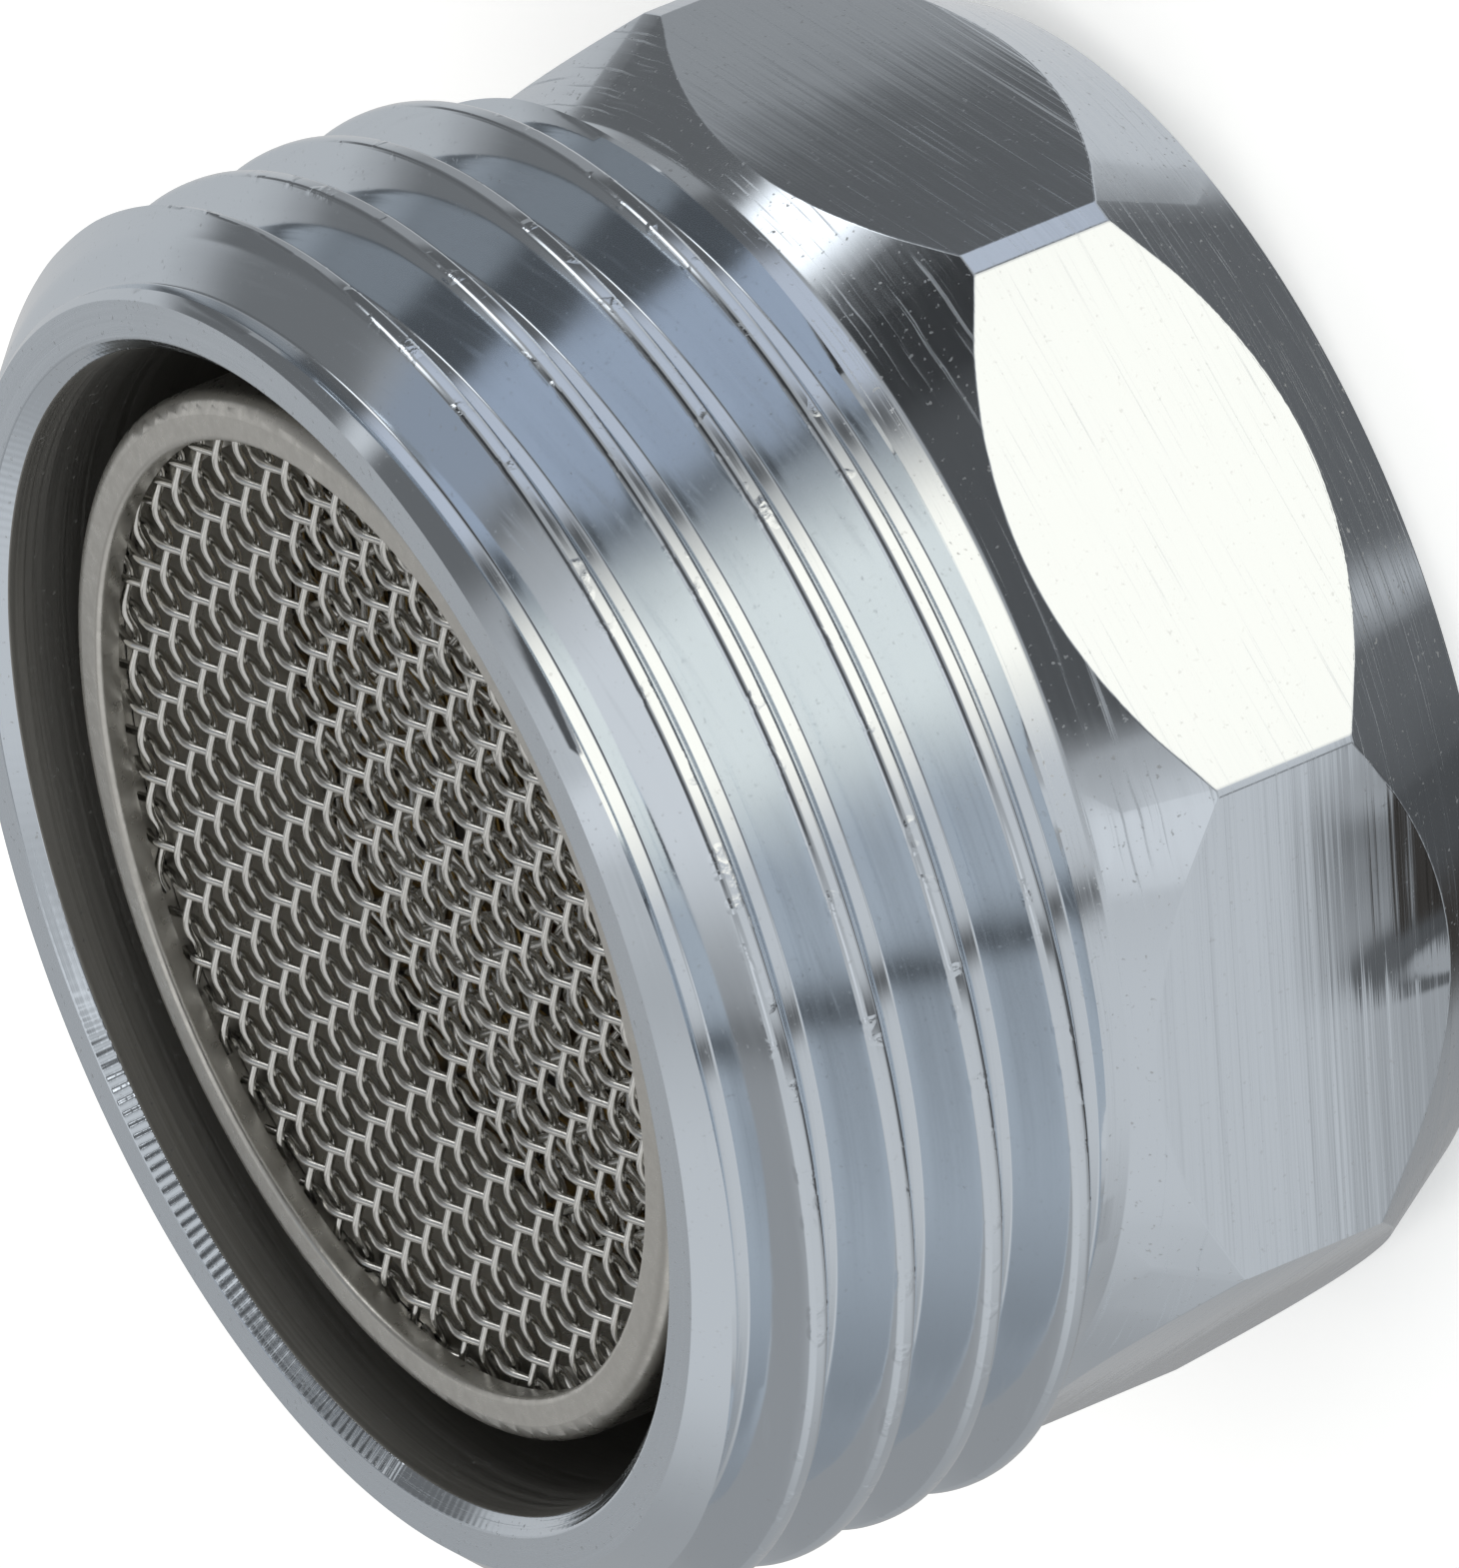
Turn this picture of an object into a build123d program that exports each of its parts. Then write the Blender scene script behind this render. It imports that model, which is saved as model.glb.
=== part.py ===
from build123d import *
import math
import os

# Tap aerator: an eight-sided plated brass body with a male outlet thread and a screen insert.
# Millimetres, +Z up. The part stands on its inlet end: the origin is the centre of the inlet
# rim, and the axis runs up to the outlet face, where the woven screen shows in the mouth.

# Body: turned from eight-sided bar, with a cone on each side of the spanner flats
BODY_LENGTH = 17.0
FLAT_COUNT = 8
ACROSS_FLATS = 24.8
CORNER_RADIUS = 13.37
CORNER_BAND_START = 3.2
CORNER_BAND_END = 6.0
INLET_CONE_ANGLE = 30.5
OUTLET_CONE_ANGLE = 33.0

# Outlet thread, G 3/4: 26.44 outside, 14 turns to the inch, flanks at 55 degrees
THREAD_RADIUS = 13.2205
THREAD_PITCH = 1.814
THREAD_DEPTH = 1.162
THREAD_ANGLE = 55.0
THREAD_CREST = 0.3
THREAD_END = 8.5
THREAD_EMBED = 0.15
CREST_ON_X = 10.193
OUTLET_FACE_RADIUS = 11.92
START_CHAMFER_ANGLE = 45.0

# Bores, from the inlet end to the mouth
INLET_THREAD_RADIUS = 10.4585
INLET_THREAD_MAJOR = 11.0
INLET_THREAD_END = 4.2
INLET_CHAMFER = 0.45
SEAL_FACE = 4.5
SEAT_FACE = 7.6
SEAT_LENGTH = 1.2
AIR_BORE_RADIUS = 10.92
MOUTH_CHAMFER = 0.28

# Insert cup: drawn sleeve that hangs by its flange, with air ports and a rolled-in lip
CUP_RADIUS = 9.85
CUP_WALL = 0.4
FLANGE_THICKNESS = 0.5
CUP_RECESS = 0.9
LIP_RADIUS = 8.955
LIP_THICKNESS = 0.45
LIP_ROUND = 0.38
LIP_EDGE = 0.12
PORT_COUNT = 12
PORT_WIDTH = 2.0
PORT_HEIGHT = 1.6
PORT_ABOVE_LAND = 0.6

# Jet disc, splitter disc and the rivet that joins them
JET_DISC_THICKNESS = 0.8
JET_HOLE_RADIUS = 0.55
INNER_JET_COUNT = 6
INNER_JET_CIRCLE = 3.7
OUTER_JET_COUNT = 12
OUTER_JET_CIRCLE = 6.7
RIVET_RADIUS = 1.0
RIVET_COLLAR_RADIUS = 1.7
RIVET_HEAD_RADIUS = 1.9
RIVET_HEAD_HEIGHT = 0.6
RIVET_HEAD_BEVEL = 0.25
SPLITTER_GAP = 1.2
SPLITTER_RADIUS = 8.2
SPLITTER_THICKNESS = 0.6
NOTCH_COUNT = 16
NOTCH_RADIUS = 0.45

# Screens: one woven wire disc behind the lip, and two more behind a spacer ring
WIRE_DIAMETER = 0.22
WEAVE_PITCH = 1.58
WEAVE_RIDGE = 0.44
WEAVE_ANGLE = 2.0
SCREEN_TURN = 30.0
SPACER_WALL = 0.75
SPACER_LENGTH = 3.0

# Inlet washer
WASHER_INNER_RADIUS = 8.3

# Clearances: the insert slides in through the inlet thread, past the undercut behind it
UNDERCUT = 0.05
FLANGE_SLIP = 0.1
CUP_SLIP = 0.1
SCREEN_SLIP = 0.05
SPACER_SLIP = 0.03
WASHER_SLIP = 0.06
RIVET_SLIP = 0.04

# Sizes that follow from the ones above
THREAD_ROOT_RADIUS = THREAD_RADIUS - THREAD_DEPTH
FLANK_SLOPE = math.tan(math.radians(THREAD_ANGLE / 2))
SEAT_BORE_RADIUS = INLET_THREAD_MAJOR + UNDERCUT
FLANGE_RADIUS = INLET_THREAD_RADIUS - FLANGE_SLIP
LAND_RADIUS = CUP_RADIUS + CUP_SLIP
LAND_END = SEAT_FACE + SEAT_LENGTH
CUP_INNER_RADIUS = CUP_RADIUS - CUP_WALL
CUP_END = BODY_LENGTH - CUP_RECESS
FLANGE_BOTTOM = SEAT_FACE - FLANGE_THICKNESS
PORT_MIDDLE = LAND_END + PORT_ABOVE_LAND + PORT_HEIGHT / 2
JET_DISC_BOTTOM = FLANGE_BOTTOM - JET_DISC_THICKNESS
SPLITTER_BOTTOM = FLANGE_BOTTOM + SPLITTER_GAP
SPLITTER_TOP = SPLITTER_BOTTOM + SPLITTER_THICKNESS
SCREEN_THICKNESS = 2 * WIRE_DIAMETER
SCREEN_RADIUS = CUP_INNER_RADIUS - SCREEN_SLIP
OUTLET_SCREEN_BOTTOM = CUP_END - LIP_THICKNESS - SCREEN_THICKNESS
SPACER_BOTTOM = OUTLET_SCREEN_BOTTOM - SPACER_LENGTH
MIDDLE_SCREEN_BOTTOM = SPACER_BOTTOM - SCREEN_THICKNESS
UPPER_SCREEN_BOTTOM = MIDDLE_SCREEN_BOTTOM - SCREEN_THICKNESS


def turned(*points):
    """Solid of revolution about Z from the (radius, height) corners of its half section."""
    section = Polyline([(radius, 0, height) for radius, height in points], close=True)
    return revolve(make_face(section), Axis.Z)


def tube(outer, inner, bottom, top):
    """Ring on the axis between two heights; a disc where the inner radius is zero."""
    return turned((inner, bottom), (outer, bottom), (outer, top), (inner, top))


def bar_stock():
    """Eight-sided bar with its corners turned down and a cone on each side of the flats."""
    rim = CORNER_RADIUS - CORNER_BAND_START * math.tan(math.radians(INLET_CONE_ANGLE))
    fall = (CORNER_RADIUS - THREAD_ROOT_RADIUS) / math.tan(math.radians(OUTLET_CONE_ANGLE))
    outline = turned(
        (0, 0), (rim, 0), (CORNER_RADIUS, CORNER_BAND_START), (CORNER_RADIUS, CORNER_BAND_END),
        (THREAD_ROOT_RADIUS, CORNER_BAND_END + fall), (THREAD_ROOT_RADIUS, THREAD_END), (0, THREAD_END),
    )
    octagon = RegularPolygon(ACROSS_FLATS / 2, FLAT_COUNT, major_radius=False, rotation=180 / FLAT_COUNT)
    return outline & extrude(octagon, THREAD_END)


def thread_ridge():
    """Helical ridge of the outlet thread, longer at both ends than the threaded neck."""
    turns_below = math.ceil((CREST_ON_X - THREAD_END) / THREAD_PITCH) + 1
    start = CREST_ON_X - turns_below * THREAD_PITCH
    turns = math.ceil((BODY_LENGTH - start) / THREAD_PITCH) + 1
    path = Pos(0, 0, start) * Helix(THREAD_PITCH, turns * THREAD_PITCH, THREAD_RADIUS)
    foot = -THREAD_DEPTH - THREAD_EMBED
    half_crest = THREAD_CREST / 2
    half_foot = half_crest - foot * FLANK_SLOPE
    corners = [(foot, -half_foot), (0, -half_crest), (0, half_crest), (foot, half_foot)]
    tooth = make_face(Polyline(corners, close=True))
    return sweep(Plane(path @ 0, x_dir=(1, 0, 0), z_dir=path % 0) * tooth, path, is_frenet=True)


def threaded_neck():
    """Neck with its thread, bevelled at the end by the cone and chamfered at the outlet face."""
    outside = THREAD_RADIUS + THREAD_DEPTH
    bevel = (outside - THREAD_ROOT_RADIUS) * FLANK_SLOPE
    chamfer = (outside - OUTLET_FACE_RADIUS) / math.tan(math.radians(START_CHAMFER_ANGLE))
    limits = turned(
        (0, THREAD_END), (THREAD_ROOT_RADIUS, THREAD_END), (outside, THREAD_END + bevel),
        (outside, BODY_LENGTH - chamfer), (OUTLET_FACE_RADIUS, BODY_LENGTH), (0, BODY_LENGTH),
    )
    core = tube(THREAD_ROOT_RADIUS, 0, 0, 2 * BODY_LENGTH)
    return (core + thread_ridge()) & limits


def housing():
    """Body with its stepped bore: inlet thread, undercut, insert seat, land and air bore."""
    bore = turned(
        (0, 0), (INLET_THREAD_RADIUS + INLET_CHAMFER, 0), (INLET_THREAD_RADIUS, INLET_CHAMFER),
        (INLET_THREAD_RADIUS, INLET_THREAD_END), (SEAT_BORE_RADIUS, INLET_THREAD_END),
        (SEAT_BORE_RADIUS, SEAT_FACE), (LAND_RADIUS, SEAT_FACE), (LAND_RADIUS, LAND_END),
        (AIR_BORE_RADIUS, LAND_END), (AIR_BORE_RADIUS, BODY_LENGTH - MOUTH_CHAMFER),
        (AIR_BORE_RADIUS + MOUTH_CHAMFER, BODY_LENGTH), (0, BODY_LENGTH),
    )
    return bar_stock() + threaded_neck() - bore


def inlet_washer():
    """Rubber washer that the tap spout presses against the jet disc."""
    return tube(INLET_THREAD_RADIUS - WASHER_SLIP, WASHER_INNER_RADIUS, SEAL_FACE, JET_DISC_BOTTOM)


def jet_disc():
    """Drilled disc that parts the stream into jets, with the rivet hole in its middle."""
    disc = tube(FLANGE_RADIUS, RIVET_RADIUS + RIVET_SLIP, JET_DISC_BOTTOM, FLANGE_BOTTOM)
    middle = (JET_DISC_BOTTOM + FLANGE_BOTTOM) / 2
    hole = Pos(0, 0, middle) * Cylinder(JET_HOLE_RADIUS, 2 * JET_DISC_THICKNESS)
    inner = [place * hole for place in PolarLocations(INNER_JET_CIRCLE, INNER_JET_COUNT)]
    outer = [place * hole for place in PolarLocations(OUTER_JET_CIRCLE, OUTER_JET_COUNT)]
    return disc - inner - outer


def center_rivet():
    """Rivet with a collar that holds the splitter disc clear of the jet disc."""
    low = JET_DISC_BOTTOM - RIVET_HEAD_HEIGHT
    high = SPLITTER_TOP + RIVET_HEAD_HEIGHT
    crown = RIVET_HEAD_RADIUS - RIVET_HEAD_BEVEL
    return turned(
        (0, low), (crown, low), (RIVET_HEAD_RADIUS, low + RIVET_HEAD_BEVEL),
        (RIVET_HEAD_RADIUS, JET_DISC_BOTTOM), (RIVET_RADIUS, JET_DISC_BOTTOM), (RIVET_RADIUS, FLANGE_BOTTOM),
        (RIVET_COLLAR_RADIUS, FLANGE_BOTTOM), (RIVET_COLLAR_RADIUS, SPLITTER_BOTTOM),
        (RIVET_RADIUS, SPLITTER_BOTTOM), (RIVET_RADIUS, SPLITTER_TOP), (RIVET_HEAD_RADIUS, SPLITTER_TOP),
        (RIVET_HEAD_RADIUS, high - RIVET_HEAD_BEVEL), (crown, high), (0, high),
    )


def splitter_disc():
    """Notched disc that breaks the jets up and sends them to the cup wall."""
    disc = tube(SPLITTER_RADIUS, RIVET_RADIUS + RIVET_SLIP, SPLITTER_BOTTOM, SPLITTER_TOP)
    middle = (SPLITTER_BOTTOM + SPLITTER_TOP) / 2
    notch = Pos(0, 0, middle) * Cylinder(NOTCH_RADIUS, 2 * SPLITTER_THICKNESS)
    return disc - [place * notch for place in PolarLocations(SPLITTER_RADIUS, NOTCH_COUNT)]


def insert_cup():
    """Drawn sleeve with a seat flange, a ring of air ports and a lip rolled in over the screens."""
    cup = turned(
        (CUP_INNER_RADIUS, FLANGE_BOTTOM), (FLANGE_RADIUS, FLANGE_BOTTOM), (FLANGE_RADIUS, SEAT_FACE),
        (CUP_RADIUS, SEAT_FACE), (CUP_RADIUS, CUP_END), (LIP_RADIUS, CUP_END),
        (LIP_RADIUS, CUP_END - LIP_THICKNESS), (CUP_INNER_RADIUS, CUP_END - LIP_THICKNESS),
    )
    lip_edges = cup.edges().group_by(Axis.Z)[-1].sort_by(SortBy.RADIUS)
    cup = fillet(lip_edges[-1], LIP_ROUND)
    lip_edges = cup.edges().group_by(Axis.Z)[-1].sort_by(SortBy.RADIUS)
    cup = fillet(lip_edges[0], LIP_EDGE)
    port = Pos(0, 0, PORT_MIDDLE) * Box(4 * CUP_WALL, PORT_WIDTH, PORT_HEIGHT)
    return cup - [place * port for place in PolarLocations(CUP_INNER_RADIUS, PORT_COUNT)]


def spacer_ring():
    """Ring that holds the outlet screen against the lip, clear of the other two."""
    outer = CUP_INNER_RADIUS - SPACER_SLIP
    return tube(outer, outer - SPACER_WALL, SPACER_BOTTOM, OUTLET_SCREEN_BOTTOM)


def woven_screen(bottom, angle):
    """Wire cloth disc: two layers of crossing ridges with the gaps of the weave between them."""
    count = 2 * math.floor((SCREEN_RADIUS - WEAVE_PITCH) / WEAVE_PITCH + 0.5)
    ridge = Box(2 * SCREEN_RADIUS, WEAVE_RIDGE, WIRE_DIAMETER, align=(Align.CENTER, Align.CENTER, Align.MIN))
    layer = [place * ridge for place in GridLocations(0, WEAVE_PITCH, 1, count)]
    lower = Pos(0, 0, bottom) * Rot(0, 0, angle)
    upper = Pos(0, 0, bottom + WIRE_DIAMETER) * Rot(0, 0, angle + 90)
    cloth = [lower * bar for bar in layer] + [upper * bar for bar in layer]
    edge = tube(SCREEN_RADIUS, 0, bottom, bottom + SCREEN_THICKNESS)
    return edge & (Part() + cloth)


nodes = {
    "housing": housing(),
    "inlet_washer": inlet_washer(),
    "jet_disc": jet_disc(),
    "center_rivet": center_rivet(),
    "splitter_disc": splitter_disc(),
    "insert_cup": insert_cup(),
    "spacer_ring": spacer_ring(),
    "upper_screen": woven_screen(UPPER_SCREEN_BOTTOM, WEAVE_ANGLE + 2 * SCREEN_TURN),
    "middle_screen": woven_screen(MIDDLE_SCREEN_BOTTOM, WEAVE_ANGLE + SCREEN_TURN),
    "outlet_screen": woven_screen(OUTLET_SCREEN_BOTTOM, WEAVE_ANGLE),
}

os.makedirs("parts", exist_ok=True)
for name, node in nodes.items():
    export_step(node, f"parts/{name}.step")
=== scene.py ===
"""Tap aerator, dressed for the studio: plated eight-sided body, threads, satin insert and woven screens."""

import logging
from collections.abc import Iterator, Sequence
from dataclasses import dataclass, field
from enum import Enum
from functools import cached_property
from math import acos, atan2, ceil, cos, degrees, floor, hypot, pi, radians, sin, tan, tau

import bmesh
import bpy
from bpy.types import Material, Mesh, Node, NodeSocket, Object
from mathutils import Matrix, Vector


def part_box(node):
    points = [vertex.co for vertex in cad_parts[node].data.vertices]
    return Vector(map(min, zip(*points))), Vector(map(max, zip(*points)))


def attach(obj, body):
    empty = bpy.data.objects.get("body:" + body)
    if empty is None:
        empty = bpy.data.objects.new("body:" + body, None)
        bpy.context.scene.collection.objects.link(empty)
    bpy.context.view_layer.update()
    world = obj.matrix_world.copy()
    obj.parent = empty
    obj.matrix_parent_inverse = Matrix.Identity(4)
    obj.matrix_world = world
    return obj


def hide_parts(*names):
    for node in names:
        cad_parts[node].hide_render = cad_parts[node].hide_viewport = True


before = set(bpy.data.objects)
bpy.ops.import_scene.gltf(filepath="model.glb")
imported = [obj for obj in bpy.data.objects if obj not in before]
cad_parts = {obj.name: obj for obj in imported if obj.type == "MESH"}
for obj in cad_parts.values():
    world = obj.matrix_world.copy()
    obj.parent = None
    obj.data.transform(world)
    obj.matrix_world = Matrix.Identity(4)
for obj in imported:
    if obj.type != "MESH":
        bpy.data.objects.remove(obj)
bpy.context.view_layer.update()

MM = 0.001
WHITE = (1.0, 1.0, 1.0, 1.0)
# Multiplies the height out of a place, so that only its way across the axis is left
ACROSS_AXIS = (1.0, 1.0, 0.0)
Span = tuple[float, float]
Triple = tuple[float, float, float]
Ring = list[Triple]
log = logging.getLogger("tap_aerator")


class Slot(Enum):
    """Material slots of the record, for the plated body and the screen wire."""

    BODY = "plated_body"
    WIRE = "screen_wire"


class Zone(Enum):
    """Surfaces of the body that were machined in different ways, by material index."""

    TURNED = 0
    MILLED = 1
    THREADED = 2
    FACED = 3
    CHATTERED = 4
    BORED = 5


def linear(hex_colour: str) -> tuple[float, float, float, float]:
    """Turn an sRGB hex colour into linear RGBA.

    Args:
        hex_colour: Colour written as "#rrggbb".

    Returns:
        Linear red, green, blue and an alpha of one.
    """
    channels = [int(hex_colour[i:i + 2], 16) / 255 for i in (1, 3, 5)]
    red, green, blue = (c / 12.92 if c <= 0.04045 else ((c + 0.055) / 1.055) ** 2.4 for c in channels)
    return red, green, blue, 1.0


def stand(name: str, data: bpy.types.ID) -> Object:
    """Put new data into the scene.

    Args:
        name: Name of the object.
        data: Mesh, lamp or camera that it carries.

    Returns:
        The object, linked to the scene.
    """
    item = bpy.data.objects.new(name, data)
    bpy.context.scene.collection.objects.link(item)
    return item


def quads(rows: Sequence[Sequence[bmesh.types.BMVert]]) -> Iterator[tuple[bmesh.types.BMVert, ...]]:
    """Go through the faces between closed rows of points.

    Args:
        rows: Rows of equal length, in order.

    Yields:
        The four corners of each face.
    """
    for lower, upper in zip(rows, rows[1:]):
        for i in range(len(lower)):
            j = (i + 1) % len(lower)
            yield lower[i], lower[j], upper[j], upper[i]


class Nodes:
    """A node tree, with short ways to add the nodes that are used most."""

    def __init__(self, tree: bpy.types.NodeTree) -> None:
        """Work on one tree."""
        self.tree = tree

    def add(self, kind: str, inputs: dict | None = None, **settings: object) -> Node:
        """Add a node, apply its settings, and set or link its inputs.

        Args:
            kind: Blender's name of the node type.
            inputs: Values, sockets, or nodes whose first output is meant, by input name or index.
            **settings: Attributes of the node itself.

        Returns:
            The new node.
        """
        node = self.tree.nodes.new(kind)
        for name, value in settings.items():
            setattr(node, name, value)
        for key, value in (inputs or {}).items():
            value = value.outputs[0] if isinstance(value, Node) else value
            if isinstance(value, NodeSocket):
                self.tree.links.new(value, node.inputs[key])
            else:
                node.inputs[key].default_value = value
        return node

    def math(self, operation: str, *terms: object) -> NodeSocket:
        """Work out one sum of values or sockets, by Blender's name for it."""
        return self.add("ShaderNodeMath", dict(enumerate(terms)), operation=operation).outputs[0]

    def vector(self, operation: str, *terms: object) -> NodeSocket:
        """Work out one sum of vectors, as math does. A length or a dot product is a plain number."""
        node = self.add("ShaderNodeVectorMath", dict(enumerate(terms)), operation=operation)
        return node.outputs["Value" if operation in ("LENGTH", "DOT_PRODUCT") else "Vector"]

    def total(self, *products: tuple[object, object]) -> NodeSocket:
        """Add up products.

        Args:
            *products: Pairs of values or sockets to multiply.

        Returns:
            The sum's socket.
        """
        result = self.math("MULTIPLY", *products[0])
        for product in products[1:]:
            result = self.math("MULTIPLY_ADD", *product, result)
        return result

    def span(self, value: NodeSocket, before: Span, after: Span = (0.0, 1.0),
             **settings: object) -> NodeSocket:
        """Stretch the span before of a value onto the span after, held at both ends."""
        ends = dict(zip(("From Min", "From Max", "To Min", "To Max"), before + after))
        return self.add("ShaderNodeMapRange", {"Value": value, **ends}, **settings).outputs[0]

    def point(self, x: object = 0.0, y: object = 0.0, z: object = 0.0) -> NodeSocket:
        """Join three values or sockets into a place."""
        return self.add("ShaderNodeCombineXYZ", {0: x, 1: y, 2: z}).outputs[0]

    def split(self, place: NodeSocket | Node) -> list[NodeSocket]:
        """Part a place into its X, Y and Z."""
        return self.add("ShaderNodeSeparateXYZ", {0: place}).outputs[:]


class Skin(Nodes):
    """Nodes of a new material, whose patterns follow the place on the part."""

    def __init__(self, name: str) -> None:
        """Open an empty material.

        Args:
            name: What the material is and how its surface was made.
        """
        self.material = bpy.data.materials.new(name)
        self.material.use_nodes = True
        super().__init__(self.material.node_tree)
        self.tree.nodes.clear()

    @cached_property
    def place(self) -> NodeSocket:
        """Place on the part."""
        return self.add("ShaderNodeTexCoord").outputs["Object"]

    @cached_property
    def across(self) -> NodeSocket:
        """Place without its height."""
        return self.vector("MULTIPLY", self.place, ACROSS_AXIS)

    @cached_property
    def radius(self) -> NodeSocket:
        """Distance from the axis."""
        return self.vector("LENGTH", self.across)

    @cached_property
    def outward(self) -> NodeSocket:
        """Way out from the axis, with a length of one."""
        return self.vector("NORMALIZE", self.across)

    def toward(self, heading: float) -> NodeSocket:
        """How squarely a place lies towards a heading in degrees: one on it, less to its sides."""
        way = (cos(radians(heading)), sin(radians(heading)), 0.0)
        return self.vector("DOT_PRODUCT", self.outward, way)

    def noise(self, size: float, detail: float = 1.0, roughness: float = 0.5) -> NodeSocket:
        """Cloudy pattern over the part, from zero to one, with clouds of a size in millimetres."""
        inputs = {"Vector": self.place, "Scale": 1 / (size * MM), "Detail": detail, "Roughness": roughness}
        return self.add("ShaderNodeTexNoise", inputs).outputs[0]

    def blend(self, share: NodeSocket, ground: str, cover: str) -> NodeSocket:
        """Lay one hex colour over another by a share, from zero to one."""
        return self.add("ShaderNodeMixRGB", {0: share, 1: linear(ground), 2: linear(cover)}).outputs[0]

    def fall(self, distance: NodeSocket, radius: float) -> NodeSocket:
        """Height of a shallow round at a distance from its top, both in metres. Radius in millimetres."""
        return self.math("MULTIPLY", self.math("MULTIPLY", distance, distance), -0.5 / (radius * MM))

    def relief(self, heights: Sequence[tuple[NodeSocket, float]]) -> NodeSocket:
        """Tilt the surface as patterns of height would, one on the other.

        Args:
            heights: Each pattern, with the millimetres that one stands for.

        Returns:
            The tilted normal.
        """
        below = {}
        for height, depth in heights:
            inputs = {"Height": height, "Strength": 1.0, "Distance": depth * MM, **below}
            below = {"Normal": self.add("ShaderNodeBump", inputs).outputs[0]}
        return below["Normal"]

    def surface(self, inputs: dict, kind: str = "ShaderNodeBsdfPrincipled") -> Material:
        """Close the tree with a shader of this kind, and hand over the finished material."""
        self.add("ShaderNodeOutputMaterial", {"Surface": self.add(kind, inputs)})
        return self.material


@dataclass(frozen=True)
class TurnedChrome:
    """Bright chrome plate on turned brass: a mirror that lathe lines and scratches blur round the axis.

    Lengths are in millimetres, headings in degrees, and reaches in radians round the axis. A slope is the
    rise over run of a mark. A span says between which values of its pattern a mark comes in.
    """

    name: str
    colour: str = "#d6dee6"
    roughness: float = 0.1
    roughness_spread: float = 0.06
    line_width: float = 0.06
    line_reach: float = 0.9
    line_span: Span = (0.3, 0.7)
    line_slope: float = 0.03
    streak_width: float = 0.32
    streak_reach: float = 1.2
    streak_slope: float = 0.05
    scratch_width: float = 0.035
    scratch_reach: float = 0.25
    scratch_span: Span = (0.6, 0.72)
    scratch_roughness: float = 0.25
    wave_width: float = 2.2
    wave_slope: float = 0.006
    speck_colour: str = "#b4b5b4"
    speck_size: float = 0.11
    speck_span: Span = (0.68, 0.78)
    speck_share: float = 0.5
    speck_roughness: float = 0.8
    climb: Triple = (0.0, 0.0, 1.0)
    climb_with_radius: float = 0.7
    crown_radius: float = 0.0
    roll_height: float = 0.0
    roll_radius: float = 14.0
    worn_heading: float = -80.0
    worn_span: Span = (0.972, 1.0)
    worn_share: float = 2.2
    chatter_pitch: float = 0.0
    chatter_slope: float = 0.8
    chatter_heading: float = 160.0
    chatter_span: Span = (0.8, 0.93)
    chatter_least: float = 0.06
    wander_size: float = 1.5
    wander: float = 4.0
    patch_size: float = 4.0
    patch_span: Span = (0.4, 0.6)
    patch_least: float = 0.15
    nicked_radius: float = 0.0
    nicked_depth: float = 0.15
    nick_size: float = 0.14
    nick_depth: float = 0.0175
    nick_patch: float = 0.6
    nick_span: Span = (0.58, 0.68)

    def grain(self, skin: Skin, width: float, reach: float) -> NodeSocket:
        """Noise drawn out round the axis: fine across the tool marks, long along them.

        Args:
            skin: Nodes of the material.
            width: Width of a mark.
            reach: Length of a mark.

        Returns:
            Height of the marks, from zero to one.
        """
        rise = skin.vector("DOT_PRODUCT", skin.place, self.climb)
        climb = skin.math("MULTIPLY_ADD", skin.radius, self.climb_with_radius, rise)
        fine = skin.point(z=skin.math("MULTIPLY", climb, 1 / (width * MM)))
        drawn = skin.vector("MULTIPLY_ADD", skin.outward, (1 / reach,) * 3, fine)
        return skin.add("ShaderNodeTexNoise", {"Vector": drawn, "Scale": 1.0, "Detail": 2.0}).outputs[0]

    def material(self) -> Material:
        """Build the plated finish.

        Returns:
            Material whose marks run round the part's axis.
        """
        skin = Skin(self.name)
        # Fine lines are the lathe's feed, streaks its uneven cut, scratches come from the bar stock and wear
        lines = self.grain(skin, self.line_width, self.line_reach)
        streaks = self.grain(skin, self.streak_width, self.streak_reach)
        scratches = self.grain(skin, self.scratch_width, self.scratch_reach)
        specks = skin.span(skin.noise(self.speck_size), self.speck_span, (0.0, self.speck_share))
        lined = skin.span(lines, self.line_span, (self.roughness, self.roughness + self.roughness_spread))
        scratched = skin.span(scratches, self.scratch_span, (0.0, self.scratch_roughness))
        dull = skin.math("ADD", lined, scratched)
        reliefs = [
            (skin.noise(self.wave_width), self.wave_slope * self.wave_width),
            (streaks, self.streak_slope * self.streak_width),
            (lines, self.line_slope * self.line_width),
        ]
        if self.crown_radius:
            reliefs.append((skin.fall(skin.radius, self.crown_radius), 1 / MM))
        if self.roll_height:
            reliefs.append((self.rolled_edge(skin), 1 / MM))
        if self.chatter_pitch:
            reliefs.append((self.chatter(skin), self.chatter_slope * self.chatter_pitch / tau))
        if self.nicked_radius:
            reliefs.append((self.nicks(skin), self.nick_depth))
        return skin.surface({
            "Base Color": skin.blend(specks, self.colour, self.speck_colour),
            "Metallic": 1.0,
            "Roughness": skin.math("MULTIPLY_ADD", specks, self.speck_roughness, dull),
            "Normal": skin.relief(reliefs),
        })

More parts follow.
